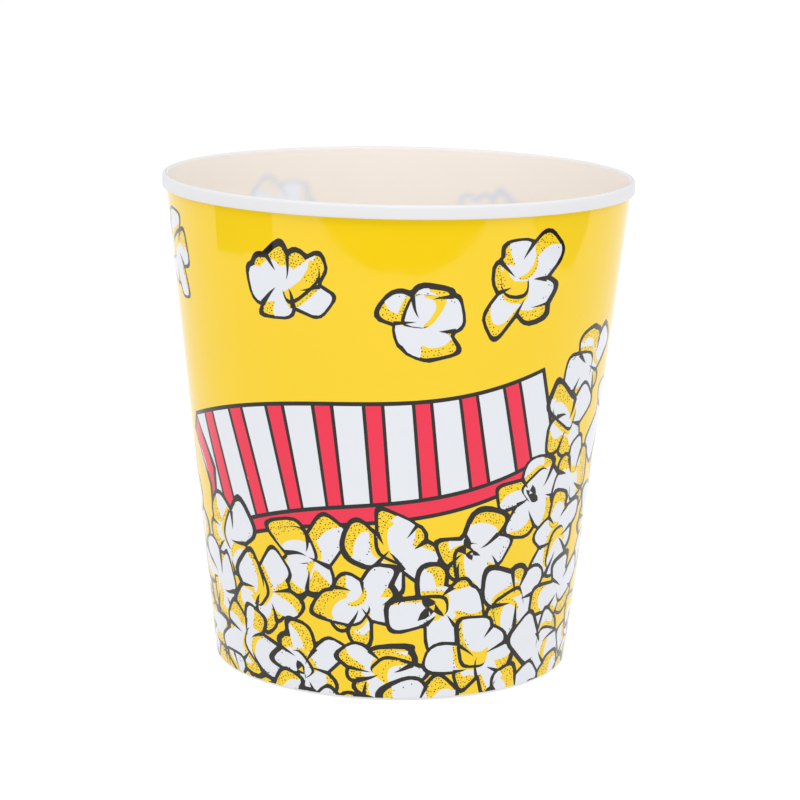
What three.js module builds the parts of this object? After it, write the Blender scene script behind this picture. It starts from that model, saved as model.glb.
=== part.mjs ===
// A round, tapered plastic bucket with a thick rounded lip, standing on a low foot ring.
// Millimetres, +Z up, origin at the centre of the base where the foot meets the floor.
import * as THREE from 'three';

// Driving dimensions
const height = 192.5;
const lipDiameter = 184;
const lipHeight = 5.3;
const lipOverhang = 1.6;
const baseDiameter = 140;
const wallThickness = 1.3;
const floorThickness = 1.6;
const footRecess = 2;
const footWidth = 3.4;

// Rounded edges
const lipTopRounding = 1.2;
const lipEdgeRounding = 0.7;
const baseRounding = 1.2;
const recessRounding = 1;
const insideRounding = 5;

// How finely round shapes are divided
const segmentsAround = 96;
const stepsPerRounding = 4;

// Sizes that follow from the driving dimensions
const lipRadius = lipDiameter / 2;
const lipUnderside = height - lipHeight;
const wallTopRadius = lipRadius - lipOverhang;
const wallFootRadius = baseDiameter / 2;
const taper = (wallTopRadius - wallFootRadius) / lipUnderside;
const taperAngle = THREE.MathUtils.radToDeg(Math.atan(taper));
const insideFloor = footRecess + floorThickness;

// Outside and inside radius of the tapered wall at a height
const outsideRadius = (z) => wallFootRadius + taper * z;
const insideRadius = (z) => outsideRadius(z) - wallThickness;

// Points on an arc in the plane of the profile, from one angle to another, in degrees
function arc(centreRadius, centreHeight, rounding, startAngle, endAngle) {
  const points = [];
  for (let step = 0; step <= stepsPerRounding; step += 1) {
    const degrees = THREE.MathUtils.lerp(startAngle, endAngle, step / stepsPerRounding);
    const angle = THREE.MathUtils.degToRad(degrees);
    const radius = centreRadius + rounding * Math.cos(angle);
    const z = centreHeight + rounding * Math.sin(angle);
    points.push(new THREE.Vector2(radius, z));
  }
  return points;
}

// Underside: the recessed base and the flat foot ring around it
function footProfile() {
  const recessRadius = wallFootRadius - footWidth;
  return [
    new THREE.Vector2(0, footRecess),
    ...arc(recessRadius - recessRounding, footRecess - recessRounding, recessRounding, 90, 0),
    new THREE.Vector2(recessRadius, 0),
    ...arc(outsideRadius(0) - baseRounding, baseRounding, baseRounding, -90, -taperAngle),
  ];
}

// The lip: a rounded band that stands out from the top of the wall
function lipProfile() {
  const innerRadius = insideRadius(height);
  const topCentre = height - lipTopRounding;
  const lowCentre = lipUnderside + lipEdgeRounding;
  return [
    new THREE.Vector2(wallTopRadius, lipUnderside),
    ...arc(lipRadius - lipEdgeRounding, lowCentre, lipEdgeRounding, -90, 0),
    ...arc(lipRadius - lipTopRounding, topCentre, lipTopRounding, 0, 90),
    ...arc(innerRadius + lipTopRounding, topCentre, lipTopRounding, 90, 180 - taperAngle),
  ];
}

// Inside: the wall meets the floor in a wide rounding
function insideProfile() {
  const centreHeight = insideFloor + insideRounding;
  const centreRadius = insideRadius(centreHeight) - insideRounding;
  return [
    ...arc(centreRadius, centreHeight, insideRounding, -taperAngle, -90),
    new THREE.Vector2(0, insideFloor),
  ];
}

function bucketGeometry() {
  const profile = [...footProfile(), ...lipProfile(), ...insideProfile()];
  const geometry = new THREE.LatheGeometry(profile, segmentsAround);
  geometry.rotateX(Math.PI / 2);
  return geometry;
}

const bucketPlastic = new THREE.MeshStandardMaterial({
  color: 0xf6cf2e,
  roughness: 0.25,
  metalness: 0,
});

const bucket = new THREE.Mesh(bucketGeometry(), bucketPlastic);
bucket.name = 'bucket';

const group = new THREE.Group();
group.add(bucket);

export default group;
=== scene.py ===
"""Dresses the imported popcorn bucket: a white moulded shell and the glossy printed film on its wall.

The print is drawn flat, as inked shapes one over another on a panel that wraps half way round
the wall and is repeated on the other half. Lengths are in millimetres until a mesh is made, and
in metres for the camera, the lights, the floor and the cards that lie round it.
"""

import math

import bmesh
import bpy
import numpy as np
from mathutils import Matrix, Vector
from mathutils.geometry import delaunay_2d_cdt


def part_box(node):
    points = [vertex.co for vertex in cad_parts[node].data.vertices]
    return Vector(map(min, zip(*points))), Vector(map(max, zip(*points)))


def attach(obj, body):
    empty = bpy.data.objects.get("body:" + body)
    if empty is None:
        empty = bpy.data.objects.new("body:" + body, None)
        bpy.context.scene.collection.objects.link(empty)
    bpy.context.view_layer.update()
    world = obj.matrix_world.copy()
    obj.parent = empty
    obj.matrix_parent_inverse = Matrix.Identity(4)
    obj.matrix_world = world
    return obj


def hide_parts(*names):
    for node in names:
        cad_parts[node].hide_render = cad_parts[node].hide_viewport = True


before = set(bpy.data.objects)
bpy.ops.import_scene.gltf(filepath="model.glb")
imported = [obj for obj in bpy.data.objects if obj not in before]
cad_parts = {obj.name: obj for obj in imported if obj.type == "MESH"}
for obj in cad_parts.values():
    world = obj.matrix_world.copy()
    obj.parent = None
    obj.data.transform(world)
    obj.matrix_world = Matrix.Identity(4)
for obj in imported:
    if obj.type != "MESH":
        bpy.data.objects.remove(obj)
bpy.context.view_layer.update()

MM = 0.001

# The bucket, as its solid is made
LIP_HEIGHT = 5.3
LIP_OVERHANG = 1.6
LIP_TOP_ROUNDING = 1.2
LIP_EDGE_ROUNDING = 0.7
BASE_RADIUS = 70.0
BASE_ROUNDING = 1.2
WALL = 1.3
FLOOR_THICKNESS = 1.6
FOOT_RECESS = 2.0
FOOT_WIDTH = 3.4
RECESS_ROUNDING = 1.0
INSIDE_ROUNDING = 5.0

# The film, and the gap that keeps it clear of the wall behind it
FILM = 0.12
FILM_GAP = 0.02

# The mark that the mould's gate leaves under the base: a dish with a bead in its middle, whose
# points are a radius and a drop below the dish
GATE_DISH_RADIUS = 6.0
GATE_DISH_SLOPE = 0.6
GATE_DISH_DEPTH = 0.5
GATE_BEAD = ((0.0, 0.6), (0.7, 0.5), (1.3, 0.0))

# How finely round shapes are divided
SEGMENTS = 360
ARC_STEPS = 8
BASE_RINGS = (12.0, 24.0, 36.0, 48.0, 58.0)
FLOOR_RINGS = (56.0, 44.0, 32.0, 20.0, 8.0, 0.0)
INSIDE_ROW = 1.5
WELD_3D = 0.004

# The wall's rows behind the film: how far the first lies over the film's lower edge, and where
# the even ones start, how far under the film's top they end and how many they are
HIDDEN_START = 0.2
HIDDEN_ROWS = (20.0, 12.0, 6)

# The printed panel, which ends just short of the lip
PANEL_RADIUS = 80.0
PANEL_WIDTH = math.pi * PANEL_RADIUS
PANEL_LOW = 1.2
PANEL_MARGIN = 0.15
YELLOW, WHITE, BLACK, RED = range(4)
SEED = 64

_, high_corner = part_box("bucket")
HEIGHT = high_corner.z / MM
LIP_RADIUS = high_corner.x / MM
LIP_UNDERSIDE = HEIGHT - LIP_HEIGHT
TAPER = (LIP_RADIUS - LIP_OVERHANG - BASE_RADIUS) / LIP_UNDERSIDE
LEAN = math.atan(TAPER)
PANEL_HIGH = LIP_UNDERSIDE - PANEL_MARGIN
draws = np.random.default_rng(SEED)


def wall_radius(height):
    """Radius of the wall's outside at a height."""
    return BASE_RADIUS + TAPER * height


def heading(angle):
    """The direction of an angle, or of each of several."""
    return np.stack([np.cos(angle), np.sin(angle)], -1)


# ---- camera, light and floor

FOCAL_LENGTH = 127.1
SENSOR = 36.0
CAMERA_PLACE = (0.0, -1.0966, 0.32986)
CAMERA_PITCH = 11.727
CAMERA_YAW = 0.107
CAMERA_ROLL = 1.033

WORLD_LIGHT = 0.85
KEY_WATTS = 13.0
KEY_SIZES = (3.2, 0.5)
KEY_PLACE = (0.0, -0.79, 1.45)
KEY_TILT = 30.0

FLOOR_SIZE = 12.0
FLOOR_LEVEL = -0.0001
FLOOR_GREY = 0.2
FLOOR_GLOW = 0.88

# What lies dark past the lit floor's edges: each card's grey and its corners on the floor
CARD_LEVEL = 0.0004
DARK_CARDS = {
    "front_card": (0.02, [
        (-0.90, -2.0), (-0.36, -0.485), (-0.20, -0.498), (0.0, -0.512),
        (0.20, -0.487), (0.40, -0.456), (1.4, -2.0),
    ]),
    "left_card": (0.12, [
        (-2.0, 0.26), (-0.64, 0.085), (-0.617, -0.02), (-0.57, -0.16),
        (-0.50, -0.28), (-2.0, -1.1),
    ]),
    "right_card": (0.26, [
        (2.0, -0.93), (0.582, -0.27), (0.588, -0.10), (0.592, -0.033),
        (0.61, 0.04), (0.71, 0.176), (2.0, 0.75),
    ]),
}


def add_camera():
    camera = bpy.data.objects.new("camera", bpy.data.cameras.new("camera"))
    camera.data.lens = FOCAL_LENGTH
    camera.data.sensor_width = SENSOR
    camera.data.clip_end = 50.0
    turn = Matrix.Rotation(-math.radians(CAMERA_YAW), 4, "Z")
    tip = Matrix.Rotation(math.radians(90.0 - CAMERA_PITCH), 4, "X")
    roll = Matrix.Rotation(math.radians(CAMERA_ROLL), 4, "Z")
    camera.matrix_world = Matrix.Translation(CAMERA_PLACE) @ turn @ tip @ roll
    bpy.context.scene.collection.objects.link(camera)
    bpy.context.scene.camera = camera


def add_lights():
    world = bpy.data.worlds.new("studio")
    world.use_nodes = True
    background = world.node_tree.nodes["Background"]
    background.inputs["Color"].default_value = (1.0, 1.0, 1.0, 1.0)
    background.inputs["Strength"].default_value = WORLD_LIGHT
    bpy.context.scene.world = world
    light = bpy.data.lights.new("key", "AREA")
    light.shape = "RECTANGLE"
    light.size, light.size_y = KEY_SIZES
    light.energy = KEY_WATTS
    key = bpy.data.objects.new("key", light)
    key.location = KEY_PLACE
    key.rotation_euler.x = math.radians(KEY_TILT)
    bpy.context.scene.collection.objects.link(key)


def new_material(name):
    """A material with its node tree and its Principled shader."""
    material = bpy.data.materials.new(name)
    material.use_nodes = True
    return material, material.node_tree, material.node_tree.nodes["Principled BSDF"]


def matte_material(name, grey):
    """A grey without highlights, and its shader."""
    material, _, shader = new_material(name)
    shader.inputs["Base Color"].default_value = (grey, grey, grey, 1.0)
    shader.inputs["Roughness"].default_value = 1.0
    shader.inputs["Specular IOR Level"].default_value = 0.0
    return material, shader


def flat_piece(name, corners, level, material):
    """A flat piece of the scene that isn't part of the object."""
    mesh = bpy.data.meshes.new(name)
    mesh.from_pydata([(x, y, level) for x, y in corners], [], [tuple(range(len(corners)))])
    mesh.materials.append(material)
    piece = bpy.data.objects.new(name, mesh)
    bpy.context.scene.collection.objects.link(piece)
    return piece


def add_floor():
    """A pale floor that glows a little, as a lit sweep does."""
    material, shader = matte_material("pale_floor", FLOOR_GREY)
    shader.inputs["Emission Color"].default_value = (1.0, 1.0, 1.0, 1.0)
    shader.inputs["Emission Strength"].default_value = FLOOR_GLOW
    reach = FLOOR_SIZE / 2
    corners = [(-reach, -reach), (reach, -reach), (reach, reach), (-reach, reach)]
    flat_piece("floor", corners, FLOOR_LEVEL, material)


def add_dark_cards():
    """Dark cards round the bucket, which show only as reflections in the film."""
    for name, (grey, corners) in DARK_CARDS.items():
        material, _ = matte_material(name, grey)
        card = flat_piece(name, corners, CARD_LEVEL, material)
        card.visible_camera = False
        card.visible_diffuse = False
        card.visible_shadow = False
        card.visible_transmission = False


# ---- the moulded shell


def arc(radius, height, rounding, start, end):
    """Points on an arc about a centre in the profile, between two angles in degrees."""
    angles = np.radians(np.linspace(start, end, ARC_STEPS + 1))
    return [(radius + rounding * math.cos(a), height + rounding * math.sin(a)) for a in angles]


def base_profile():
    """The underside, from the gate's bead in the middle out to the foot ring."""
    recess_radius = BASE_RADIUS - FOOT_WIDTH
    dish_top = FOOT_RECESS + GATE_DISH_DEPTH
    bead = [(radius, dish_top - drop) for radius, drop in GATE_BEAD]
    dish = [(GATE_DISH_RADIUS - GATE_DISH_SLOPE, dish_top), (GATE_DISH_RADIUS, FOOT_RECESS)]
    plain = [(radius, FOOT_RECESS) for radius in BASE_RINGS]
    corner_radius = recess_radius - RECESS_ROUNDING
    corner = arc(corner_radius, FOOT_RECESS - RECESS_ROUNDING, RECESS_ROUNDING, 90, 0)
    foot_radius = BASE_RADIUS - BASE_ROUNDING
    foot = arc(foot_radius, BASE_ROUNDING, BASE_ROUNDING, -90, -math.degrees(LEAN))
    return bead + dish + plain + corner + [(recess_radius, 0.0)] + foot


def outer_wall_profile():
    """The wall behind the film, set back by the film's thickness, in the few rows it needs."""
    inset = FILM + FILM_GAP
    first, under_top, count = HIDDEN_ROWS
    rows = np.linspace(first, PANEL_HIGH - under_top, count)
    heights = [PANEL_LOW + HIDDEN_START, *rows, PANEL_HIGH]
    return [(wall_radius(h) - inset, h) for h in heights]


def lip_profile():
    lean = math.degrees(LEAN)
    inside = wall_radius(HEIGHT) - WALL
    top = HEIGHT - LIP_TOP_ROUNDING
    low = LIP_UNDERSIDE + LIP_EDGE_ROUNDING
    return [
        (wall_radius(LIP_UNDERSIDE) - FILM - FILM_GAP, LIP_UNDERSIDE),
        *arc(LIP_RADIUS - LIP_EDGE_ROUNDING, low, LIP_EDGE_ROUNDING, -90, 0),
        (LIP_RADIUS, (low + top) / 2),
        *arc(LIP_RADIUS - LIP_TOP_ROUNDING, top, LIP_TOP_ROUNDING, 0, 90),
        *arc(inside + LIP_TOP_ROUNDING, top, LIP_TOP_ROUNDING, 90, 180 - lean),
    ]


def inside_wall_profile():
    low = FOOT_RECESS + FLOOR_THICKNESS + INSIDE_ROUNDING
    high = HEIGHT - LIP_TOP_ROUNDING
    count = round((high - low) / INSIDE_ROW)
    heights = np.linspace(high, low, count + 1)[1:-1]
    return [(wall_radius(h) - WALL, h) for h in heights]


def inside_floor_profile():
    floor_top = FOOT_RECESS + FLOOR_THICKNESS
    centre_height = floor_top + INSIDE_ROUNDING
    centre_radius = wall_radius(centre_height) - WALL - INSIDE_ROUNDING
    corner = arc(centre_radius, centre_height, INSIDE_ROUNDING, -math.degrees(LEAN), -90)
    return corner + [(radius, floor_top) for radius in FLOOR_RINGS]


# The square that finishes are baked to: how many millimetres of surface its side holds, and the
# room kept at its edge
MAP_SIDE = 420.0
MAP_EDGE = 2.0

# Where the shell's parts lie on it: the two discs' centres, and how high each strip starts, how
# much higher its second half turn lies and how far it is shrunk
BASE_CENTRE = (330.0, 74.0)
FLOOR_CENTRE = (330.0, 220.0)
INSIDE_STRIP = (2.0, 187.0)
LIP_STRIP = (376.0, 16.0)
HIDDEN_STRIP = (408.0, 5.0, 0.02)

# The columns of faces round the shell, and which of them lie in the second half turn
COLUMNS = np.arange(SEGMENTS)
SECOND_HALF = (COLUMNS >= SEGMENTS // 2).astype(float)


def disc_chart(centre):
    """Lays a flat round part on the square as it is."""

    def places(radius, run, side):
        angles = (COLUMNS + side) * math.tau / SEGMENTS
        return (np.array(centre) + radius * heading(angles)) / MAP_SIDE

    return places


def strip_chart(low, step, shrink=1.0):
    """Unrolls a round part on the square as two strips, the second half turn over the first."""

    def places(radius, run, side):
        u = MAP_EDGE + (2 * (COLUMNS + side) / SEGMENTS - SECOND_HALF) * PANEL_WIDTH
        v = low + run * shrink + SECOND_HALF * step
        return np.stack([u, v], -1) / MAP_SIDE

    return places


def face_corners(places, near, far):
    """A chart's places for the corners of the faces between two rings, by their radius and run."""
    return np.stack([places(*near, 0), places(*near, 1), places(*far, 1), places(*far, 0)], 1)


def lathe(sections):
    """Vertices, faces and map places of profiles turned about Z, each profile with its chart."""
    profile = np.concatenate([points for points, _ in sections])
    runs = np.concatenate([[0.0], np.cumsum(np.hypot(*np.diff(profile, axis=0).T))])
    around = heading(COLUMNS * math.tau / SEGMENTS)
    rings = [np.column_stack([radius * around, np.full(SEGMENTS, z)]) for radius, z in profile]
    faces = []
    maps = []
    first = 0
    for points, chart in sections:
        last = min(first + len(points), len(profile) - 1)
        for row in range(first, last):
            here = row * SEGMENTS + COLUMNS
            ahead = row * SEGMENTS + (COLUMNS + 1) % SEGMENTS
            faces.append(np.stack([here, ahead, ahead + SEGMENTS, here + SEGMENTS], -1))
            near = (profile[row][0], runs[row] - runs[first])
            far = (profile[row + 1][0], runs[row + 1] - runs[first])
            maps.append(face_corners(chart, near, far))
        first = last
    return np.concatenate(rings), np.concatenate(faces), np.concatenate(maps)


def mapped_mesh(name, points, faces, maps, slots):
    """A mesh with a place on the bake's map for each face's corner, joined where points meet."""
    mesh = bpy.data.meshes.new(name)
    mesh.from_pydata((points * MM).tolist(), [], faces.tolist())
    mesh.polygons.foreach_set("material_index", slots.astype(np.int32))
    layer = mesh.uv_layers.new(name="OFBake")
    layer.data.foreach_set("uv", maps.astype(np.float32).ravel())
    shape = bmesh.new()
    shape.from_mesh(mesh)
    bmesh.ops.remove_doubles(shape, verts=shape.verts, dist=WELD_3D * MM)
    shape.to_mesh(mesh)
    shape.free()
    return mesh


def make_shell():
    """The shell, with each part of its profile laid at a place of its own on the square."""
    points, faces, maps = lathe([
        (base_profile(), disc_chart(BASE_CENTRE)),
        (outer_wall_profile(), strip_chart(*HIDDEN_STRIP)),
        (lip_profile(), strip_chart(*LIP_STRIP)),
        (inside_wall_profile(), strip_chart(*INSIDE_STRIP)),
        (inside_floor_profile(), disc_chart(FLOOR_CENTRE)),
    ])
    mesh = mapped_mesh("bucket_shell", points, faces, maps, np.zeros(len(faces)))
    mesh.shade_smooth()
    shell = bpy.data.objects.new("bucket_shell", mesh)
    bpy.context.scene.collection.objects.link(shell)
    return shell


# ---- the print's shapes


class Sheet:
    """The flat panel, with its inked shapes in the order that they are laid down."""

    def __init__(self):
        self.shapes = []

    def add(self, ink, outline, clip=None):
        """Lays down a shape, and again past the other side where it runs off the panel."""
        outline = np.asarray(outline, float)
        for shift in (-PANEL_WIDTH, 0.0, PANEL_WIDTH):
            moved = outline + (shift, 0.0)
            low, high = moved.min(0), moved.max(0)
            if high[0] < -PANEL_WIDTH / 2 or low[0] > PANEL_WIDTH / 2:
                continue
            if high[1] < PANEL_LOW or low[1] > PANEL_HIGH:
                continue
            kept = None if clip is None else np.asarray(clip, float) + (shift, 0.0)
            self.shapes.append((ink, moved, kept))


class Lobe:
    """A block of popcorn, between an ellipse and a rectangle, that leans and widens outwards."""

    def __init__(self, centre, along, long, wide, squareness, lean=0.0, flare=0.0):
        self.centre = centre
        self.along = along
        self.across = np.array([-along[1], along[0]])
        self.long = long
        self.wide = wide
        self.squareness = squareness
        self.lean = lean
        self.flare = flare

    def moved(self, shift, grow=0.0, squareness=None):
        shape = squareness or self.squareness
        long, wide = self.long + grow, self.wide + grow
        return Lobe(self.centre + shift, self.along, long, wide, shape, self.lean, self.flare)

    def holds(self, points):
        away = points - self.centre
        sideways = away @ self.across
        u = (away @ self.along - self.lean * sideways) / self.long
        v = sideways / (self.wide * (1.0 + self.flare * np.clip(u, -1.0, 1.0)))
        return np.abs(u) ** self.squareness + np.abs(v) ** self.squareness < 1.0

    def outline(self, count=28):
        angles = np.arange(count) * math.tau / count
        bend = 2.0 / self.squareness
        u = np.sign(np.cos(angles)) * np.abs(np.cos(angles)) ** bend
        v = np.sign(np.sin(angles)) * np.abs(np.sin(angles)) ** bend
        sideways = v * self.wide * (1.0 + self.flare * u)
        forwards = u * self.long + self.lean * sideways
        return self.centre + forwards[:, None] * self.along + sideways[:, None] * self.across


# Directions and distances in which a kernel's outline is looked for, from its middle
ROUND = 128
ANGLES = np.arange(ROUND) * math.tau / ROUND
HEADINGS = heading(ANGLES)
STEPS_OUT = np.arange(0.1, 30.0, 0.1)
PROBES = STEPS_OUT[None, :, None] * HEADINGS[:, None, :]

# A kernel's ink, in millimetres: its outline, which is heavier on one side, how far a stroke may
# stray from it, the narrowest yellow band, how far the white runs over the outline where it has
# none, and how far dots stay inside
OUTLINE_WIDTH = 1.50
LEAST_OUTLINE = 0.9
HEAVY_SIDE = 1.1
STROKE_SLACK = 0.16
LEAST_BAND = 0.9
WHITE_SPILL = 0.3
EDGE_MARGIN = 0.6

# Its limbs, as ranges in shares of its size. The twist is in radians, and the shape is a Lobe's
# squareness, lean and flare. Limbs reach further along the kernel's long way than across it.
LIMB_COUNTS = (4, 5, 5, 6)
LOOSE_LIMB_COUNTS = (5, 5, 6)
LIMB_TURN = (0.65, 1.35)
LIMB_REACH = (0.74, 1.04)
LIMB_WIDTH = (0.24, 0.38)
LIMB_TWIST = (-0.45, 0.45)
LIMB_SHAPE = ((2.4, 4.6), (-0.4, 0.4), (0.0, 0.35))
SHORT_WAY = 0.80
LONG_WAY = 0.40
CORE = 0.40

# A limb's middle and half its length, as shares of how far out it reaches
LIMB_MIDDLE = 0.52
LIMB_HALF = 0.50

# The small knobs between limbs
KNOB_CHANCE = 0.45
KNOB_WIDTH = (0.15, 0.22)
KNOB_REACH = (0.52, 0.66)
KNOB_SQUARENESS = 2.4
KNOB_LENGTH = 1.1
KNOB_SHADE = 2.2

# How far a limb's white is moved off its yellow, and the draw below which each way is taken
AWAY_FROM_DARK = (0.20, 0.34)
INWARDS = (0.24, 0.38)
SIDEWAYS = (0.18, 0.28)
SIDEWAYS_PULL = 0.25
AWAY_BELOW = 0.38
INWARDS_BELOW = 0.52
SIDEWAYS_BELOW = 0.74
LIT_GROWTH = 0.3
LIT_SQUARENESS = 2.3

# The limb that lies in front: how far it is drawn in, how far its ink and its shadow stand out
# sideways and inwards, how much they are grown, and the dots in the shadow
FRONT_DRAWN_IN = 0.16
FRONT_INK = (0.9, 0.6)
FRONT_INK_GROWTH = 0.4
FRONT_SHADOW = (2.6, 1.2)
FRONT_SHADOW_GROWTH = 0.3
FRONT_DOTS = 26
FRONT_DOTS_FROM = 1.3
FRONT_DOTS_ALONG = (-1.0, 0.7)

# Folds, which are yellow crescents round a limb's inner end
CURL_CHANCE = 0.5
CURL_TWIST = (-0.9, 0.9)
CURL_SWEEP = (1.8, 2.8)
CURL_RADIUS = (0.85, 1.15)
CURL_WIDTH = (2.0, 3.4)

# Creases, which run in from the notches between limbs
NOTCH_REACH = 8
NOTCH_DEPTH = 0.9
CREASE_DEPTH = (0.20, 0.50)
CREASE_BEND = (-0.5, 0.5)
CREASE_WIDTH = (0.8, 1.3)
CREASE_START = 1.2

# Dark hollows, as shares of the kernel's size
HOLLOW_CHANCE = 0.30
HOLLOW_PLACE = (0.05, 0.30)
HOLLOW_WIDTH = 0.11
HOLLOW_CORNER = (0.20, 0.44)
GLINT_CHANCE = 0.7
GLINT = 0.08

# The stipple: the wider a yellow band, the more dots, and some freckles on one side where there
# is no band
DOT_SPACING = 0.85
DOT_RADIUS = (0.22, 0.33)
DOT_TURN = (-0.03, 0.03)
DOTS_FOR_BAND = 0.36
LEAST_DOTTED = 1.6
DOTLESS_EDGE = 1.1
FRECKLED_BAND = 2.6
FRECKLED_SIDE = 0.6
FRECKLE_CHANCE = 0.5


def reach(held):
    """How far out the held probes go in each direction."""
    together = np.any(held, 0)
    farthest = STEPS_OUT[len(STEPS_OUT) - 1 - together[:, ::-1].argmax(1)]
    return np.where(together.any(1), farthest, 0.0)


def keep_corners(line, slack):
    """The line with fewer points, none of the dropped ones further than the slack from it."""
    along = line[-1] - line[0]
    across = np.array([-along[1], along[0]])
    away = np.abs((line - line[0]) @ across) / max(np.hypot(*along), 1e-6)
    worst = int(away.argmax())
    if away[worst] < slack:
        return line[[0, -1]]
    before = keep_corners(line[: worst + 1], slack)
    return np.concatenate([before[:-1], keep_corners(line[worst:], slack)])


def ring(distances):
    """A closed outline at a distance in each direction, drawn in a few straight strokes."""
    outline = HEADINGS * distances[:, None]
    half = ROUND // 2
    first = keep_corners(outline[: half + 1], STROKE_SLACK)[:-1]
    second = keep_corners(np.concatenate([outline[half:], outline[:1]]), STROKE_SLACK)[:-1]
    return np.concatenate([first, second])


def lit_side(limb, shade):
    """What a limb's white is cut to: the limb, moved off its shaded side and rounded."""
    return limb.moved(shade, LIT_GROWTH, LIT_SQUARENESS) if shade.any() else limb


def without_slivers(white, body):
    """The edge of the white, taken out to the outline where the yellow would be a mere sliver."""
    white = np.minimum(white, body)
    return np.where(body - white < LEAST_BAND, body + WHITE_SPILL, white)


class Kernel:
    """One popped kernel, drawn about its middle and laid down at a place on the panel."""

    def __init__(self, sheet, place, size, limb_counts=LIMB_COUNTS):
        self.sheet = sheet
        self.place = np.asarray(place, float)
        self.size = size
        self.limb_counts = limb_counts
        self.stretch = (PANEL_RADIUS / wall_radius(place[1]), 1.0)

    def put(self, ink, outline, clip=None):
        moved = np.asarray(outline, float) * self.stretch + self.place
        kept = None if clip is None else clip * self.stretch + self.place
        self.sheet.add(ink, moved, kept)

    def draw(self):
        self.choose_limbs()
        self.find_outlines()
        self.put(BLACK, ring(self.edge))
        self.put(YELLOW, ring(self.body))
        self.put(WHITE, ring(self.white))
        self.draw_front_limb()
        extra = draws.random()
        if extra < CURL_CHANCE:
            self.draw_curl()
        self.draw_creases()
        if extra > 1.0 - HOLLOW_CHANCE:
            self.draw_hollow()
        self.draw_stipple()

    def choose_limbs(self):
        """Blocky limbs of uneven size round the middle, and how far the white of each is moved."""
        self.limb_count = int(draws.choice(self.limb_counts))
        angle = draws.uniform(0, math.tau)
        long_way = heading(draws.uniform(0, math.pi))
        turns = draws.uniform(*LIMB_TURN, self.limb_count)
        turns *= math.tau / turns.sum()
        self.dark_side = heading(draws.uniform(0, math.tau))
        self.limbs = []
        self.shades = []
        knobs = []
        for turn in turns:
            angle += turn
            far = self.size * draws.uniform(*LIMB_REACH)
            far *= SHORT_WAY + LONG_WAY * abs(heading(angle) @ long_way)
            wide = self.size * draws.uniform(*LIMB_WIDTH)
            along = heading(angle + draws.uniform(*LIMB_TWIST))
            shape = [draws.uniform(*extent) for extent in LIMB_SHAPE]
            centre = heading(angle) * far * LIMB_MIDDLE
            self.limbs.append(Lobe(centre, along, far * LIMB_HALF, wide, *shape))
            self.shades.append(self.choose_shade(along))
            if draws.random() < KNOB_CHANCE:
                knobs.append(angle + 0.5 * turns.mean())
        for angle in knobs:
            self.add_knob(angle)

    def add_knob(self, angle):
        """A small round knob between two limbs, yellow all over."""
        along = heading(angle)
        across = self.size * draws.uniform(*KNOB_WIDTH)
        centre = along * self.size * draws.uniform(*KNOB_REACH)
        self.limbs.append(Lobe(centre, along, KNOB_LENGTH * across, across, KNOB_SQUARENESS))
        self.shades.append(-along * KNOB_SHADE * across)

    def choose_shade(self, along):
        """How a limb's white is moved off its yellow, if it is."""
        kind = draws.random()
        if kind < AWAY_BELOW:
            return -self.dark_side * self.size * draws.uniform(*AWAY_FROM_DARK)
        if kind < INWARDS_BELOW:
            return -along * self.size * draws.uniform(*INWARDS)
        if kind < SIDEWAYS_BELOW:
            side = np.array([-along[1], along[0]]) * draws.choice([-1, 1])
            return (side - SIDEWAYS_PULL * along) * self.size * draws.uniform(*SIDEWAYS)
        return np.zeros(2)

    def find_outlines(self):
        """The kernel's outline, the ink's outer edge round it and the edge of its white."""
        core = Lobe(np.zeros(2), heading(0), self.size * CORE, self.size * CORE, 2.0)
        blocks = self.limbs + [core]
        self.body = reach([block.holds(PROBES) for block in blocks])
        whites = [core.holds(PROBES)]
        for limb, shade in zip(self.limbs, self.shades):
            whites.append(limb.holds(PROBES) & lit_side(limb, shade).holds(PROBES))
        self.white = without_slivers(reach(whites), self.body)
        heavy = np.clip(np.cos(ANGLES - draws.uniform(0, math.tau)), 0, 1)
        grown = reach([block.moved(np.zeros(2), OUTLINE_WIDTH).holds(PROBES) for block in blocks])
        self.edge = np.maximum(grown, self.body + LEAST_OUTLINE) + HEAVY_SIDE * heavy**2

    def draw_front_limb(self):
        """Lays one limb over the others again, with ink at its inner end and a shadow beside it."""
        first = int(draws.integers(self.limb_count))
        along = self.limbs[first].along
        limb = self.limbs[first].moved(-along * FRONT_DRAWN_IN * self.size)
        side = limb.across * draws.choice([-1, 1])
        body = ring(self.body)
        shadow = side * FRONT_SHADOW[0] - along * FRONT_SHADOW[1]
        self.put(YELLOW, limb.moved(shadow, FRONT_SHADOW_GROWTH).outline(), body)
        ink = side * FRONT_INK[0] - along * FRONT_INK[1]
        self.put(BLACK, limb.moved(ink, FRONT_INK_GROWTH).outline(), body)
        probes = PROBES + limb.centre
        far = reach([limb.holds(probes)])
        lit = reach([limb.holds(probes) & lit_side(limb, self.shades[first]).holds(probes)])
        self.put(YELLOW, ring(far) + limb.centre, body)
        self.put(WHITE, ring(without_slivers(lit, far)) + limb.centre, body)
        outs = limb.wide + draws.uniform(FRONT_DOTS_FROM, FRONT_SHADOW[0], FRONT_DOTS)
        runs = draws.uniform(*FRONT_DOTS_ALONG, FRONT_DOTS) * limb.long
        self.more_dots = self.inside(limb.centre + outs[:, None] * side + runs[:, None] * along)

    def inside(self, places):
        """Those of the places that lie inside the kernel's outline."""
        turns = np.arctan2(places[:, 1], places[:, 0]) % math.tau
        room = self.body[(turns / math.tau * ROUND).astype(int) % ROUND]
        return list(places[np.hypot(*places.T) < room - EDGE_MARGIN])

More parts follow.
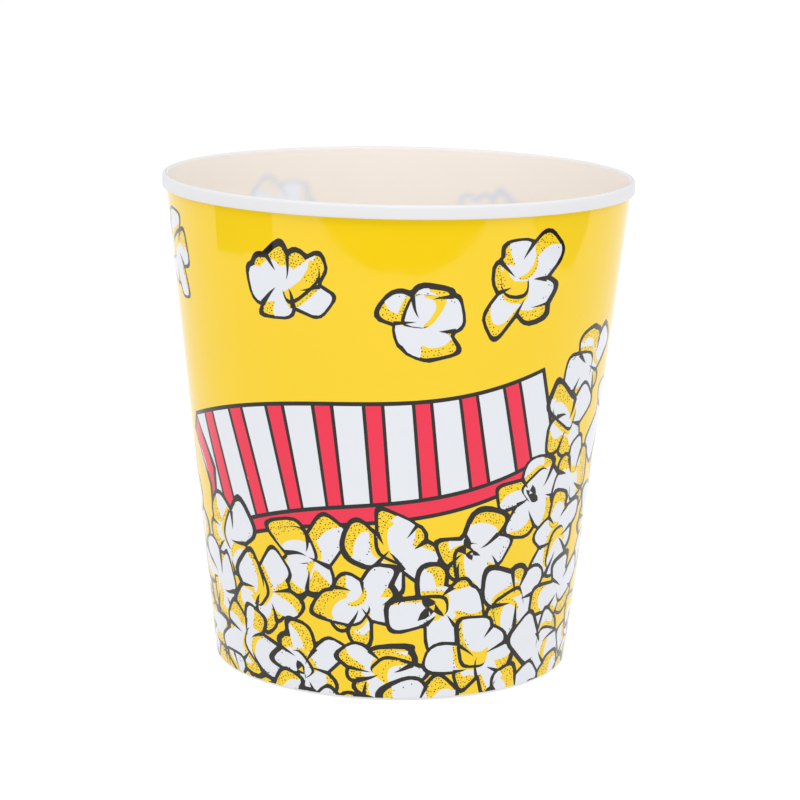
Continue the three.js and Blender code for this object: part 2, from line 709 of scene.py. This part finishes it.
    def draw_curl(self):
        """A yellow crescent round a limb's inner end, the shaded inside of a fold."""
        limb = self.limbs[int(draws.integers(self.limb_count))]
        inwards = math.atan2(-limb.along[1], -limb.along[0]) + draws.uniform(*CURL_TWIST)
        shares = np.linspace(0.0, 1.0, 12)
        line = heading(inwards + draws.uniform(*CURL_SWEEP) * (shares - 0.5))
        radius = limb.wide * draws.uniform(*CURL_RADIUS)
        half = 0.5 * draws.uniform(*CURL_WIDTH) * np.sin(math.pi * shares[:, None]) ** 0.7
        band = np.concatenate([line * (radius + half), (line * (radius - half))[-2:0:-1]])
        self.put(YELLOW, limb.centre + band, ring(self.body))
        self.more_dots += self.inside(limb.centre + (line * (radius + 0.6 * half))[1:-1])

    def is_notch(self, i):
        """Whether the outline is nearest the middle at a direction, between two limbs."""
        near = [(i + k) % ROUND for k in range(-NOTCH_REACH, NOTCH_REACH + 1)]
        lowest = self.body[i] == self.body[near].min()
        deep = self.body[i] < self.body[near].max() - NOTCH_DEPTH
        return lowest and deep and self.body[i - 1] > self.body[i]

    def draw_creases(self):
        """Tapered strokes that run in from the notches between limbs."""
        for i in range(ROUND):
            if not self.is_notch(i):
                continue
            depth = self.size * draws.uniform(*CREASE_DEPTH)
            bend = draws.uniform(*CREASE_BEND)
            half = draws.uniform(*CREASE_WIDTH)
            shares = np.linspace(0.0, 1.0, 6)
            across = np.array([-HEADINGS[i][1], HEADINGS[i][0]])
            side = across * half * (1.0 - shares[:, None]) ** 0.8
            outs = self.body[i] + CREASE_START - (depth + CREASE_START) * shares
            line = heading(ANGLES[i] + bend * shares**1.5) * outs[:, None]
            self.put(BLACK, np.concatenate([line + side, (line - side)[-2::-1]]))

    def draw_hollow(self):
        """A dark hollow with a few drawn-out corners, most with a glint of yellow."""
        centre = heading(draws.uniform(0, math.tau)) * self.size * draws.uniform(*HOLLOW_PLACE)
        corners = draws.integers(3, 5)
        widths = draws.uniform(0.5, 1.5, (corners, 1))
        widths *= math.tau / widths.sum()
        steps = np.linspace(0.0, 1.0, 6, endpoint=False)
        turns = draws.uniform(0, math.tau) + np.cumsum(widths)[:, None] + widths * steps
        lengths = draws.uniform(*HOLLOW_CORNER, (corners, 1))
        pointed = (1.0 - np.abs(2 * steps - 1.0)) ** 1.5
        outs = self.size * (HOLLOW_WIDTH + (lengths - HOLLOW_WIDTH) * pointed)
        self.put(BLACK, centre + heading(turns.ravel()) * outs.ravel()[:, None], ring(self.body))
        if draws.random() < GLINT_CHANCE:
            thirds = turns[0, 0] + np.arange(3) * math.tau / 3
            self.put(YELLOW, centre + heading(thirds) * self.size * GLINT)

    def draw_stipple(self):
        """Small dots in the yellow bands and along one side, closest together by the outline."""
        band = self.body - self.white
        freckled = np.cos(ANGLES - draws.uniform(0, math.tau)) > FRECKLED_SIDE
        chance = np.where(band > LEAST_DOTTED, band, np.where(freckled, FRECKLE_CHANCE, 0.0))
        band = np.maximum(band, FRECKLED_BAND)
        wanted = int(DOTS_FOR_BAND * chance.sum() * self.size * math.tau / ROUND)
        placed = []
        for i in draws.choice(ROUND, size=4 * wanted, p=chance / chance.sum()):
            out = self.body[i] - EDGE_MARGIN - (band[i] - DOTLESS_EDGE) * draws.random() ** 1.5
            dot = heading(ANGLES[i] + draws.uniform(*DOT_TURN)) * out
            if len(placed) < wanted and is_clear(dot, placed):
                placed.append(dot)
        for dot in self.more_dots:
            if is_clear(dot, placed):
                placed.append(dot)
        for dot in placed:
            turn = draws.uniform(0, math.pi)
            radius = draws.uniform(*DOT_RADIUS)
            self.put(BLACK, [dot + heading(turn + i * 0.4 * math.pi) * radius for i in range(5)])


def is_clear(dot, placed):
    return all(np.hypot(*(dot - other)) > DOT_SPACING for other in placed)


# The striped ribbon: its middle line, its half width, which flares to the left, and its shadow.
# What runs along it is a share of its length.
RIBBON_START = (-92.0, 81.0)
RIBBON_RUN = (154.0, 31.0)
RIBBON_WAVE = 3.0
RIBBON_PHASE = 0.05
RIBBON_HALF = 16.5
RIBBON_FLARE = 5.0
RIBBON_OUTLINE = 1.6
RIBBON_NOTCH = 0.055
RIBBON_DROP = np.array([-5.0, -7.6])
RIBBON_STEPS = 44
STRIPE_STEP = 0.118
STRIPE_FIRST = 0.085
STRIPE_HALF = 0.018
STRIPE_LINE = 0.0085


def ribbon_line(along):
    x = RIBBON_START[0] + RIBBON_RUN[0] * along
    wave = RIBBON_WAVE * math.sin(math.tau * (along - RIBBON_PHASE))
    return np.array([x, RIBBON_START[1] + RIBBON_RUN[1] * along + wave])


def ribbon_point(along, across):
    """A point at a share of the ribbon's length and a distance to one side of its line."""
    step = ribbon_line(along + 0.001) - ribbon_line(along - 0.001)
    step /= np.linalg.norm(step)
    return ribbon_line(along) + np.array([-step[1], step[0]]) * across


def ribbon_half(along):
    return RIBBON_HALF + RIBBON_FLARE * (1.0 - along)


def ribbon_band(start, end, grow, steps):
    """The stretch of ribbon between two shares of its length, grown on both sides."""
    shares = np.linspace(start, end, steps + 1)
    lower = [ribbon_point(s, -ribbon_half(s) - grow) for s in shares]
    upper = [ribbon_point(s, ribbon_half(s) + grow) for s in shares[::-1]]
    return np.array(lower + upper)


def ribbon_outline(grow):
    """The ribbon with a notch cut into its left end, grown all round for its ink line."""
    share = grow / RIBBON_RUN[0]
    body = ribbon_band(-share, 1.0 + share, grow, RIBBON_STEPS)
    notch = ribbon_point(RIBBON_NOTCH - 1.6 * share, 0.0)
    return np.concatenate([body, [notch]])


def sweep(sheet, ink, outline, drop):
    """Inks what an outline passes over as it is moved by drop."""
    following = np.roll(outline, -1, 0)
    for start, end in zip(outline, following):
        sheet.add(ink, [start, end, end + drop, start + drop])
    sheet.add(ink, outline + drop)


def draw_ribbon(sheet):
    thick = ribbon_outline(RIBBON_OUTLINE)
    thin = ribbon_outline(0.0)
    sweep(sheet, BLACK, thick, RIBBON_DROP)
    sweep(sheet, RED, thin, RIBBON_DROP)
    sheet.add(BLACK, thick)
    sheet.add(WHITE, thin)
    wide = STRIPE_HALF + STRIPE_LINE
    for middle in np.arange(STRIPE_FIRST, 1.0, STRIPE_STEP):
        sheet.add(BLACK, ribbon_band(middle - wide, middle + wide, 0.0, 4), thin)
        sheet.add(RED, ribbon_band(middle - STRIPE_HALF, middle + STRIPE_HALF, 0.0, 4), thin)


# Where kernels lie on the panel, and their sizes
LOOSE_KERNELS = (
    (-39.0, 161.0, 17.0),
    (9.0, 149.0, 15.5),
    (44.0, 162.0, 17.5),
    (-104.0, 165.0, 16.0),
)
HEAP_SIZES = (15.5, 18.5)
HEAP_ROW = 22.5
HEAP_COLUMNS = 7
HEAP_JITTER = (-0.14, 0.14)
HEAP_DROP = (0.0, 6.0)
HEAP_BOTTOM = -12.0

# The heap's upper edge: level, with a pile on the right, or else just under the ribbon
HEAP_LOW = 50.0
HEAP_TOP = 129.0
HEAP_PEAK = 100.0
HEAP_SPREAD = 48.0
HEAP_STEEPNESS = 5
HEAP_CLEARANCE = 4.0


def heap_top(x):
    """How high kernels lie at a place across the panel."""
    away = (x - HEAP_PEAK + PANEL_WIDTH / 2) % PANEL_WIDTH - PANEL_WIDTH / 2
    share = math.exp(-((abs(away) / HEAP_SPREAD) ** HEAP_STEEPNESS))
    pile = HEAP_LOW + (HEAP_TOP - HEAP_LOW) * share
    along = (x - RIBBON_START[0]) / RIBBON_RUN[0]
    if not 0.0 < along < 1.0:
        return pile
    return max(pile, ribbon_point(along, -ribbon_half(along))[1] - HEAP_CLEARANCE)


def draw_heap(sheet):
    """Rows of kernels from the top down, so that the lower ones lie in front."""
    column = PANEL_WIDTH / HEAP_COLUMNS
    for row, height in enumerate(np.arange(HEAP_TOP, HEAP_BOTTOM, -HEAP_ROW)):
        for k in range(HEAP_COLUMNS):
            shift = k + 0.5 * (row % 2) + draws.uniform(*HEAP_JITTER)
            place = (shift * column - PANEL_WIDTH / 2, height - draws.uniform(*HEAP_DROP))
            if place[1] < heap_top(place[0]):
                Kernel(sheet, place, draws.uniform(*HEAP_SIZES)).draw()


def draw_print():
    sheet = Sheet()
    for x, y, size in LOOSE_KERNELS:
        Kernel(sheet, (x, y), size, LOOSE_LIMB_COUNTS).draw()
    draw_ribbon(sheet)
    draw_heap(sheet)
    return sheet.shapes


# ---- the print as a mesh

# How close points are welded on the panel, and how far from its frame they are taken onto it
WELD = 0.01
FRAME_SLACK = 0.04

# Spacing of the net's points across and up the panel, on the film's outer and inner face, the
# share of it that they keep from the panel's far edges, and the least gap between marks on them
GRID = (2.8, 6.0)
INNER_GRID = (5.6, 12.0)
GRID_CLEARANCE = 0.4
LEAST_MARK = 0.05

# The film on its own square: room round its two panels, in millimetres, and as shares of the
# square's side the gap between its faces and how far it is lifted off the edge
MAP_ROOM = 4.0
MAP_GAP = 0.01
MAP_LIFT = 0.002


def within(outline, points):
    """Which points lie inside an outline, by how often a line from each crosses it."""
    x, y = points.T
    inside = np.zeros(len(points), bool)
    for (x0, y0), (x1, y1) in zip(outline, np.roll(outline, -1, 0)):
        crosses = (y0 > y) != (y1 > y)
        slope = (x1 - x0) / ((y1 - y0) or 1.0)
        inside ^= crosses & (x < x0 + slope * (y - y0))
    return inside


def ink_at(shapes, points):
    """The topmost ink at each point of the panel."""
    inks = np.full(len(points), YELLOW)
    order = np.argsort(points[:, 0])
    places = points[order, 0]
    for ink, outline, clip in shapes:
        low, high = outline.min(0), outline.max(0)
        near = order[np.searchsorted(places, low[0]) : np.searchsorted(places, high[0])]
        near = near[(points[near, 1] >= low[1]) & (points[near, 1] <= high[1])]
        held = near[within(outline, points[near])]
        if clip is not None:
            held = held[within(clip, points[held])]
        inks[held] = ink
    return inks


def triangulate(points, edges):
    """Vertices and triangles of a Delaunay net that keeps the given edges."""
    corners = [Vector(p) for p in points]
    pairs = [(int(a), int(b)) for a, b in edges]
    net, _, faces, *_ = delaunay_2d_cdt(corners, pairs, [], 0, WELD)
    return np.array([tuple(v) for v in net]), np.array(faces)


def closed_chain(first, count):
    """The edges that join a run of points into a loop."""
    return [(first + i, first + (i + 1) % count) for i in range(count)]


def outline_net(shapes):
    """Triangles over the panel that keep every shape's outline."""
    half = PANEL_WIDTH / 2
    frame_line = [(-half, PANEL_LOW), (half, PANEL_LOW), (half, PANEL_HIGH), (-half, PANEL_HIGH)]
    outlines = [frame_line]
    for _, outline, clip in shapes:
        outlines.append(outline)
        if clip is not None:
            outlines.append(clip)
    points = []
    edges = []
    for outline in outlines:
        edges += closed_chain(len(points), len(outline))
        points += [tuple(p) for p in outline]
    net, faces = triangulate(points, edges)
    x, y = net[faces].mean(1).T
    in_panel = (np.abs(x) < half) & (y > PANEL_LOW) & (y < PANEL_HIGH)
    return net, faces[in_panel]


def ink_borders(shapes):
    """The lines between different inks: their points and the pairs of points that they join."""
    net, faces = outline_net(shapes)
    inks = np.tile(ink_at(shapes, net[faces].mean(1)), 3)
    sides = np.sort(np.concatenate([faces[:, [0, 1]], faces[:, [1, 2]], faces[:, [2, 0]]]), 1)
    lines, which = np.unique(sides, axis=0, return_inverse=True)
    lowest = np.full(len(lines), len(INKS))
    highest = np.full(len(lines), -1)
    np.minimum.at(lowest, which.ravel(), inks)
    np.maximum.at(highest, which.ravel(), inks)
    lines = lines[lowest < highest]
    used, renumbered = np.unique(lines, return_inverse=True)
    return net[used], renumbered.reshape(-1, 2)


def marks(found, low, high, step):
    """Places along an edge: evenly spaced ones, and those found, without near repeats."""
    count = max(2, round((high - low) / step))
    places = np.concatenate([np.linspace(low, high, count + 1), found])
    places = np.unique(np.round(places, 3))
    kept = [low]
    for place in places:
        if kept[-1] + LEAST_MARK < place < high - LEAST_MARK:
            kept.append(float(place))
    return kept + [high]


def at_frame(points):
    """Which points lie on the panel's sides, on its bottom and on its top."""
    at_side = np.abs(points[:, 0]) > PANEL_WIDTH / 2 - FRAME_SLACK
    at_low = points[:, 1] < PANEL_LOW + FRAME_SLACK
    at_high = points[:, 1] > PANEL_HIGH - FRAME_SLACK
    return at_side, at_low, at_high


def frame_marks(points, grid):
    """Marks along the panel's sides, bottom and top, where lines between inks meet them."""
    across, up = grid
    half = PANEL_WIDTH / 2
    at_side, at_low, at_high = at_frame(points)
    return (
        marks(points[at_side, 1], PANEL_LOW, PANEL_HIGH, up),
        marks(points[at_low, 0], -half, half, across),
        marks(points[at_high, 0], -half, half, across),
    )


def nearest(values, places):
    places = np.array(places)
    return places[np.abs(values[:, None] - places).argmin(1)]


def settle_on_marks(points, side, low, high):
    """Moves the points on the panel's frame to its nearest marks, so that both halves match."""
    at_side, at_low, at_high = at_frame(points)
    points[at_side, 0] = np.sign(points[at_side, 0]) * PANEL_WIDTH / 2
    points[at_side, 1] = nearest(points[at_side, 1], side)
    points[at_low, 1] = PANEL_LOW
    points[at_low, 0] = nearest(points[at_low, 0], low)
    points[at_high, 1] = PANEL_HIGH
    points[at_high, 0] = nearest(points[at_high, 0], high)


def panel_net(points, edges, side, low, high, grid):
    """Triangles that fill the panel and keep the lines between inks."""
    across, up = grid
    half = PANEL_WIDTH / 2
    loop = [(x, PANEL_LOW) for x in low[:-1]]
    loop += [(half, y) for y in side[:-1]]
    loop += [(x, PANEL_HIGH) for x in high[:0:-1]]
    loop += [(-half, y) for y in side[:0:-1]]
    fill = []
    for row, y in enumerate(np.arange(PANEL_LOW + up, PANEL_HIGH - GRID_CLEARANCE * up, up)):
        start = -half + across * (0.5 + 0.5 * (row % 2))
        fill += [(x, y) for x in np.arange(start, half - GRID_CLEARANCE * across, across)]
    first = len(loop)
    all_points = loop + [tuple(p) for p in points] + fill
    all_edges = closed_chain(0, first) + [(a + first, b + first) for a, b in edges]
    return triangulate(all_points, all_edges)


def on_wall(points, half_turn, depth):
    """Where points of one of the two panels lie on the wall, set in by a depth."""
    angles = points[:, 0] / PANEL_RADIUS + half_turn * math.pi
    radii = wall_radius(points[:, 1]) - depth
    return np.stack([radii * np.sin(angles), -radii * np.cos(angles), points[:, 1]], -1)


def film_map(points, half_turn, is_inner):
    """Where the panel's points go on the square: the inner face in what the outer one leaves."""
    scale = 1.0 / (2 * PANEL_HIGH + MAP_ROOM)
    u = (points[:, 0] + PANEL_WIDTH / 2) * scale
    v = (points[:, 1] - PANEL_LOW) * scale + 0.5 * half_turn
    if is_inner:
        taken = PANEL_WIDTH * scale + MAP_GAP
        u = taken + (u / (PANEL_WIDTH * scale)) * (1.0 - MAP_GAP - taken)
    return np.stack([u, v + MAP_LIFT], -1)


class FilmParts:
    """Collects the film's faces and rims, and joins them where their corners meet."""

    def __init__(self):
        self.points = []
        self.maps = []
        self.faces = []
        self.slots = []
        self.count = 0

    def add(self, points, maps, faces, slots):
        self.points.append(points)
        self.maps.append(maps)
        self.faces.append(faces + self.count)
        self.slots.append(slots)
        self.count += len(points)

    def add_outside(self, net, faces, inks, half_turn):
        self.add(on_wall(net, half_turn, 0.0), film_map(net, half_turn, False), faces, inks)

    def add_inside(self, net, faces, half_turn):
        places = on_wall(net, half_turn, FILM)
        slots = np.full(len(faces), WHITE)
        self.add(places, film_map(net, half_turn, True), faces[:, ::-1], slots)

    def add_rim(self, places, level, is_top, half_turn):
        """The strip that joins the film's faces along its top or bottom rim."""
        line = np.stack([places, np.full(len(places), level)], -1)
        count = len(line)
        first = np.arange(count - 1)
        triangles = np.concatenate([
            np.stack([first, first + count, first + 1], -1),
            np.stack([first + 1, first + count, first + count + 1], -1),
        ])
        if is_top:
            triangles = triangles[:, ::-1]
        both = np.concatenate([on_wall(line, half_turn, depth) for depth in (0.0, FILM)])
        maps = np.concatenate([film_map(line, half_turn, is_inner) for is_inner in (False, True)])
        self.add(both, maps, triangles, np.full(len(triangles), WHITE))

    def mesh(self, name):
        faces = np.concatenate(self.faces)
        maps = np.concatenate(self.maps)[faces]
        slots = np.concatenate(self.slots)
        return mapped_mesh(name, np.concatenate(self.points), faces, maps, slots)


def make_film(shapes):
    """The printed film as a thin closed sleeve with one material for each ink."""
    points, edges = ink_borders(shapes)
    side, low, high = frame_marks(points, GRID)
    settle_on_marks(points, side, low, high)
    outer, outer_faces = panel_net(points, edges, side, low, high, GRID)
    inks = ink_at(shapes, outer[outer_faces].mean(1))
    inner_side = marks([], PANEL_LOW, PANEL_HIGH, INNER_GRID[1])
    inner, inner_faces = panel_net([], [], inner_side, low, high, INNER_GRID)
    parts = FilmParts()
    for half_turn in (0, 1):
        parts.add_outside(outer, outer_faces, inks, half_turn)
        parts.add_inside(inner, inner_faces, half_turn)
        parts.add_rim(low, PANEL_LOW, False, half_turn)
        parts.add_rim(high, PANEL_HIGH, True, half_turn)
    mesh = parts.mesh("printed_film")
    set_film_normals(mesh)
    film = bpy.data.objects.new("printed_film", mesh)
    bpy.context.scene.collection.objects.link(film)
    return film


def set_film_normals(mesh):
    """Exact normals of the cone, so that the triangles don't show in the gloss."""
    count = len(mesh.vertices)
    places = np.empty(count * 3, np.float32)
    mesh.vertices.foreach_get("co", places)
    places = places.reshape(-1, 3)
    radii = np.hypot(places[:, 0], places[:, 1])
    outward = radii / MM > wall_radius(places[:, 2] / MM) - FILM / 2
    normals = np.stack([places[:, 0] / radii, places[:, 1] / radii, np.full(count, -TAPER)], -1)
    normals /= np.linalg.norm(normals, axis=1)[:, None]
    normals *= np.where(outward, 1.0, -1.0)[:, None]
    mesh.shade_smooth()
    mesh.normals_split_custom_set_from_vertices(normals.tolist())


# ---- painted light: the print glowing through the wall onto the inner wall

# The shell's colour, and the painted light on its inner wall where each ink lies behind it: the ink's
# colour as light coming through the plastic, brighter than the plain white
PLAIN_WHITE = (0.74, 0.74, 0.75)
PAINTED_GLOW_THROUGH = {
    YELLOW: (0.965, 0.890, 0.800),
    WHITE: (0.905, 0.940, 0.995),
    BLACK: (0.730, 0.770, 0.850),
    RED: (0.940, 0.780, 0.780),
}

# How far the painted glow fades out beyond the inner wall and into the lip
GLOW_FADE = 2.0
LIP_FADE = 1.5

# The cells of the print's painted glow as it is seen, and how often they are softened
SIGHT_STEP = 0.5
SIGHT_PASSES = 3


def soften(picture):
    """Blurs each cell into its neighbours, wrapping round sideways."""
    padded = np.pad(picture, ((1, 1), (0, 0), (0, 0)), mode="edge")
    upright = (padded[:-2] + padded[1:-1] + padded[2:]) / 3
    return (np.roll(upright, -1, 1) + upright + np.roll(upright, 1, 1)) / 3


def painted_glow_through_wall(shapes):
    """The print's painted glow through the wall, as rows and columns of soft colour over the panel.
    """
    columns = round(PANEL_WIDTH / SIGHT_STEP)
    levels = round((PANEL_HIGH - PANEL_LOW) / SIGHT_STEP)
    xs = (np.arange(columns) + 0.5) / columns * PANEL_WIDTH - PANEL_WIDTH / 2
    ys = (np.arange(levels) + 0.5) / levels * (PANEL_HIGH - PANEL_LOW) + PANEL_LOW
    points = np.stack(np.meshgrid(xs, ys), -1).reshape(-1, 2)
    glow_tints = np.array([PAINTED_GLOW_THROUGH[ink] for ink in sorted(PAINTED_GLOW_THROUGH)])
    painted_glow = glow_tints[ink_at(shapes, points)].reshape(levels, columns, 3)
    for _ in range(SIGHT_PASSES):
        painted_glow = soften(painted_glow)
    return painted_glow


def inner_wall_share(out, height):
    """How fully points have the inner wall's painted glow, from how far out and how high they are."""
    share = np.clip(1.0 - np.abs(wall_radius(height) - WALL - out) / GLOW_FADE, 0, 1)
    share *= np.clip((HEIGHT - LIP_TOP_ROUNDING - height) / LIP_FADE + 1.0, 0, 1)
    on_outside = out > wall_radius(height) - 0.5 * WALL
    underneath = height < FOOT_RECESS
    share[on_outside | underneath] = 0.0
    return share[:, None]


def paint_glow_inside(shell, shapes):
    """Colours the inner wall with painted light: the print glowing through the white plastic."""
    painted_glow = painted_glow_through_wall(shapes)
    levels, columns, _ = painted_glow.shape
    mesh = shell.data
    places = np.empty(len(mesh.vertices) * 3, np.float32)
    mesh.vertices.foreach_get("co", places)
    x, y, height = places.reshape(-1, 3).T / MM
    across = (np.arctan2(x, -y) * PANEL_RADIUS / PANEL_WIDTH + 0.5) % 1.0
    up = np.clip((height - PANEL_LOW) / (PANEL_HIGH - PANEL_LOW), 0.0, 1.0)
    column = (across * columns).astype(int) % columns
    level = np.minimum((up * levels).astype(int), levels - 1)
    share = inner_wall_share(np.hypot(x, y), height)
    values = np.ones((len(mesh.vertices), 4), np.float32)
    # painted light: the print's glow through the wall on the inner wall, plain white elsewhere
    values[:, :3] = painted_glow[level, column] * share + np.array(PLAIN_WHITE) * (1 - share)
    colour_and_glow = mesh.color_attributes.new("colour_and_glow", "FLOAT_COLOR", "POINT")
    colour_and_glow.data.foreach_set("color", values.ravel())


# ---- materials

# The inks in the order of their numbers, and the gloss of the clear film over them
INKS = {
    "yellow_ink": (0.87, 0.595, 0.008),
    "white_ink": (0.72, 0.74, 0.785),
    "black_ink": (0.009, 0.007, 0.004),
    "red_ink": (0.80, 0.020, 0.065),
}
FILM_IOR = 1.46

# What most of a noise pattern's values lie between
NOISE_SPAN = (0.3, 0.7)


def noise(tree, scale, detail):
    """Noise over the piece's own coordinates, with a scale in bumps a metre."""
    place = tree.nodes.new("ShaderNodeTexCoord")
    pattern = tree.nodes.new("ShaderNodeTexNoise")
    pattern.inputs["Scale"].default_value = scale
    pattern.inputs["Detail"].default_value = detail
    tree.links.new(place.outputs["Object"], pattern.inputs["Vector"])
    return pattern.outputs["Fac"]


def vary_roughness(tree, shader, scale, low, high):
    """Lets the roughness drift between two values."""
    spread = tree.nodes.new("ShaderNodeMapRange")
    limits = {"From Min": NOISE_SPAN[0], "From Max": NOISE_SPAN[1], "To Min": low, "To Max": high}
    for name, limit in limits.items():
        spread.inputs[name].default_value = limit
    tree.links.new(noise(tree, scale, 2.0), spread.inputs["Value"])
    tree.links.new(spread.outputs["Result"], shader.inputs["Roughness"])


def add_bump(tree, shader, scale, height):
    """A faint unevenness of the surface, with its height in millimetres."""
    bump = tree.nodes.new("ShaderNodeBump")
    bump.inputs["Strength"].default_value = 1.0
    bump.inputs["Distance"].default_value = height * MM
    tree.links.new(noise(tree, scale, 2.0), bump.inputs["Height"])
    tree.links.new(bump.outputs["Normal"], shader.inputs["Normal"])


def plastic_material():
    """White polypropylene, with painted light in its vertex colours: the print glowing through it."""
    material, tree, shader = new_material("white_plastic")
    # the vertex colours hold the plain white and the painted glow of the print through the wall
    colour_and_glow = tree.nodes.new("ShaderNodeVertexColor")
    colour_and_glow.layer_name = "colour_and_glow"
    mottle = tree.nodes.new("ShaderNodeMixRGB")
    mottle.blend_type = "MULTIPLY"
    mottle.inputs["Color2"].default_value = (0.97, 0.97, 0.98, 1.0)
    tree.links.new(noise(tree, 60.0, 3.0), mottle.inputs["Fac"])
    tree.links.new(colour_and_glow.outputs["Color"], mottle.inputs["Color1"])
    tree.links.new(mottle.outputs["Color"], shader.inputs["Base Color"])
    vary_roughness(tree, shader, scale=180.0, low=0.36, high=0.44)
    add_bump(tree, shader, scale=500.0, height=0.010)
    return material


def ink_material(name, colour):
    """Glossy film over a flat ink, with the faint orange peel of a moulded surface."""
    material, tree, shader = new_material(name)
    shader.inputs["Base Color"].default_value = (*colour, 1.0)
    shader.inputs["IOR"].default_value = FILM_IOR
    vary_roughness(tree, shader, scale=120.0, low=0.03, high=0.07)
    add_bump(tree, shader, scale=220.0, height=0.004)
    return material


# ---- the scene


def add_film(shapes):
    film = make_film(shapes)
    for name, colour in INKS.items():
        film.data.materials.append(ink_material(name, colour))
    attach(film, "root")


def add_shell(shapes):
    shell = make_shell()
    paint_glow_inside(shell, shapes)
    shell.data.materials.append(plastic_material())
    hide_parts("bucket")
    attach(shell, "root")


add_camera()
add_lights()
add_floor()
add_dark_cards()
bpy.context.scene.view_settings.view_transform = "Standard"

print_shapes = draw_print()
add_film(print_shapes)
add_shell(print_shapes)
